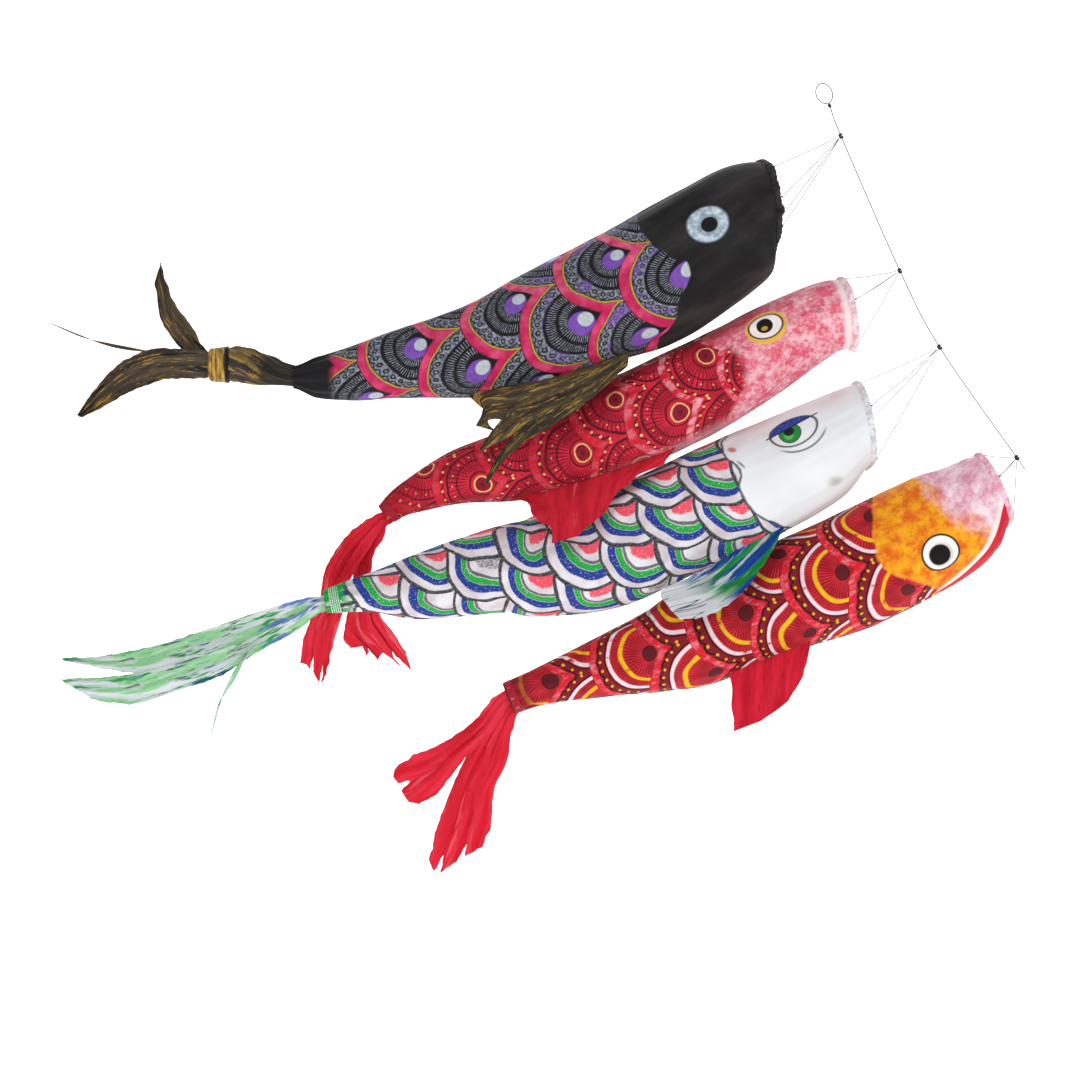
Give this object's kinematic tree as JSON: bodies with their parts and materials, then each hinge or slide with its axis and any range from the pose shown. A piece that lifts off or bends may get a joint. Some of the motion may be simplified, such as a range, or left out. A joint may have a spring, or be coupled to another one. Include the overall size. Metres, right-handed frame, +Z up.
{
  "type": "carp streamer",
  "caption": "String of painted cloth carp wind socks on one hanging line, each with a hooped mouth, thread bridle, belly fin and loose cloth tail.",
  "frame": {"origin": "top of the loop that the line hangs from", "axes": "+X towards the carps' mouths, -X towards their tails, +Z up, -Y the side with the fins"},
  "size_m": [0.9764, 0.1946, 0.8041],
  "materials": {
    "line_cord": "matte twisted thread",
    "bridle_thread": "matte thin thread",
    "hoop_wire": "dull wire",
    "tie_thread": "painted cloth or thread band",
    "black_sleeve": "painted light cloth, matte",
    "black_hem": "painted cloth hem",
    "black_fin": "painted light cloth",
    "black_tail": "painted light cloth, a little see-through",
    "pink_sleeve": "painted light cloth, matte",
    "pink_hem": "painted cloth hem",
    "pink_fin": "painted light cloth",
    "pink_tail": "painted light cloth, a little see-through",
    "white_sleeve": "painted light cloth, matte",
    "white_hem": "painted cloth hem",
    "white_fin": "painted light cloth",
    "white_tail": "painted light cloth, a little see-through",
    "red_sleeve": "painted light cloth, matte",
    "red_hem": "painted cloth hem",
    "red_fin": "painted light cloth",
    "red_tail": "painted light cloth, a little see-through"
  },
  "bodies": {
    "line": {"main_line": "line_cord", "hanging_loop": "line_cord", "hanging_knot": "line_cord"},
    "black_knot": {"black_bridle_knot": "bridle_thread"},
    "black_carp": {"black_sleeve_near": "black_sleeve", "black_sleeve_far": "black_sleeve", "black_mouth_hem": "black_hem", "black_hoop": "hoop_wire", "black_bridle_top": "bridle_thread", "black_bridle_near": "bridle_thread", "black_bridle_low": "bridle_thread", "black_bridle_far": "bridle_thread"},
    "black_fin": {"black_fin": "black_fin"},
    "black_tail": {"black_tail_stalk": "black_tail", "black_tail_tie": "tie_thread", "black_tail_upper": "black_tail", "black_tail_lower": "black_tail"},
    "pink_knot": {"pink_bridle_knot": "bridle_thread"},
    "pink_carp": {"pink_sleeve_near": "pink_sleeve", "pink_sleeve_far": "pink_sleeve", "pink_mouth_hem": "pink_hem", "pink_hoop": "hoop_wire", "pink_bridle_top": "bridle_thread", "pink_bridle_near": "bridle_thread", "pink_bridle_low": "bridle_thread", "pink_bridle_far": "bridle_thread", "pink_tail_tie": "tie_thread"},
    "pink_fin": {"pink_fin": "pink_fin"},
    "pink_tail": {"pink_tail_left": "pink_tail", "pink_tail_right": "pink_tail"},
    "white_knot": {"white_bridle_knot": "bridle_thread"},
    "white_carp": {"white_sleeve_near": "white_sleeve", "white_sleeve_far": "white_sleeve", "white_mouth_hem": "white_hem", "white_hoop": "hoop_wire", "white_bridle_top": "bridle_thread", "white_bridle_near": "bridle_thread", "white_bridle_low": "bridle_thread", "white_bridle_far": "bridle_thread", "white_tail_tie": "tie_thread"},
    "white_fin": {"white_fin": "white_fin"},
    "white_tail": {"white_tail_upper": "white_tail", "white_tail_lower": "white_tail"},
    "red_knot": {"red_bridle_knot": "bridle_thread"},
    "red_carp": {"red_sleeve_near": "red_sleeve", "red_sleeve_far": "red_sleeve", "red_mouth_hem": "red_hem", "red_hoop": "hoop_wire", "red_bridle_top": "bridle_thread", "red_bridle_near": "bridle_thread", "red_bridle_low": "bridle_thread", "red_bridle_far": "bridle_thread", "red_tail_tie": "tie_thread"},
    "red_fin": {"red_fin": "red_fin"},
    "red_tail": {"red_tail_left": "red_tail", "red_tail_right": "red_tail"}
  },
  "joints": [
    {"name": "black_turn", "type": "hinge", "parent": "line", "child": "black_knot", "pos_m": [0.021, 0, -0.052], "axis": [0, 0, 1], "range_deg": [-15, 14]},
    {"name": "black_droop", "type": "hinge", "parent": "black_knot", "child": "black_carp", "pos_m": [0.021, 0, -0.052], "axis": [0, -1, 0], "range_deg": [-9, 12]},
    {"name": "black_fin_lift", "type": "hinge", "parent": "black_carp", "child": "black_fin", "pos_m": [-0.26993, -0.0187, -0.29824], "axis": [-0.9704, 0.0394, -0.2383], "range_deg": [0, 55]},
    {"name": "black_tail_swing", "type": "hinge", "parent": "black_carp", "child": "black_tail", "pos_m": [-0.532, 0, -0.292], "axis": [0, -1, 0], "range_deg": [-25, 25]},
    {"name": "pink_turn", "type": "hinge", "parent": "line", "child": "pink_knot", "pos_m": [0.081, 0.009, -0.186], "axis": [0, 0, 1], "range_deg": [-15, 14]},
    {"name": "pink_droop", "type": "hinge", "parent": "pink_knot", "child": "pink_carp", "pos_m": [0.081, 0.009, -0.186], "axis": [0, -1, 0], "range_deg": [-9, 12]},
    {"name": "pink_fin_lift", "type": "hinge", "parent": "pink_carp", "child": "pink_fin", "pos_m": [-0.225, -0.00566, -0.39445], "axis": [-0.9565, 0.0265, -0.2907], "range_deg": [0, 55]},
    {"name": "pink_tail_swing", "type": "hinge", "parent": "pink_carp", "child": "pink_tail", "pos_m": [-0.436, 0.009, -0.432], "axis": [0, -1, 0], "range_deg": [-25, 25]},
    {"name": "white_turn", "type": "hinge", "parent": "line", "child": "white_knot", "pos_m": [0.122, 0.018, -0.262], "axis": [0, 0, 1], "range_deg": [-15, 14]},
    {"name": "white_droop", "type": "hinge", "parent": "white_knot", "child": "white_carp", "pos_m": [0.122, 0.018, -0.262], "axis": [0, -1, 0], "range_deg": [-9, 12]},
    {"name": "white_fin_lift", "type": "hinge", "parent": "white_carp", "child": "white_fin", "pos_m": [-0.09913, -0.0028, -0.47547], "axis": [-0.9039, 0.0057, -0.4278], "range_deg": [0, 55]},
    {"name": "white_tail_swing", "type": "hinge", "parent": "white_carp", "child": "white_tail", "pos_m": [-0.498, 0.018, -0.519], "axis": [0, -1, 0], "range_deg": [-25, 25]},
    {"name": "red_turn", "type": "hinge", "parent": "line", "child": "red_knot", "pos_m": [0.201, 0.026, -0.373], "axis": [0, 0, 1], "range_deg": [-15, 14]},
    {"name": "red_droop", "type": "hinge", "parent": "red_knot", "child": "red_carp", "pos_m": [0.201, 0.026, -0.373], "axis": [0, -1, 0], "range_deg": [-9, 12]},
    {"name": "red_fin_lift", "type": "hinge", "parent": "red_carp", "child": "red_fin", "pos_m": [-0.0489, 0.00731, -0.57503], "axis": [-0.9322, 0.0155, -0.3616], "range_deg": [-25, 55]},
    {"name": "red_tail_swing", "type": "hinge", "parent": "red_carp", "child": "red_tail", "pos_m": [-0.322, 0.026, -0.623], "axis": [0, -1, 0], "range_deg": [-25, 25]}
  ],
  "couplings": [
    {"joint": "pink_turn", "follows": "black_turn", "ratio": 1},
    {"joint": "pink_droop", "follows": "black_droop", "ratio": 1},
    {"joint": "white_turn", "follows": "black_turn", "ratio": 1},
    {"joint": "white_droop", "follows": "black_droop", "ratio": 1},
    {"joint": "red_turn", "follows": "black_turn", "ratio": 1},
    {"joint": "red_droop", "follows": "black_droop", "ratio": 1}
  ]
}
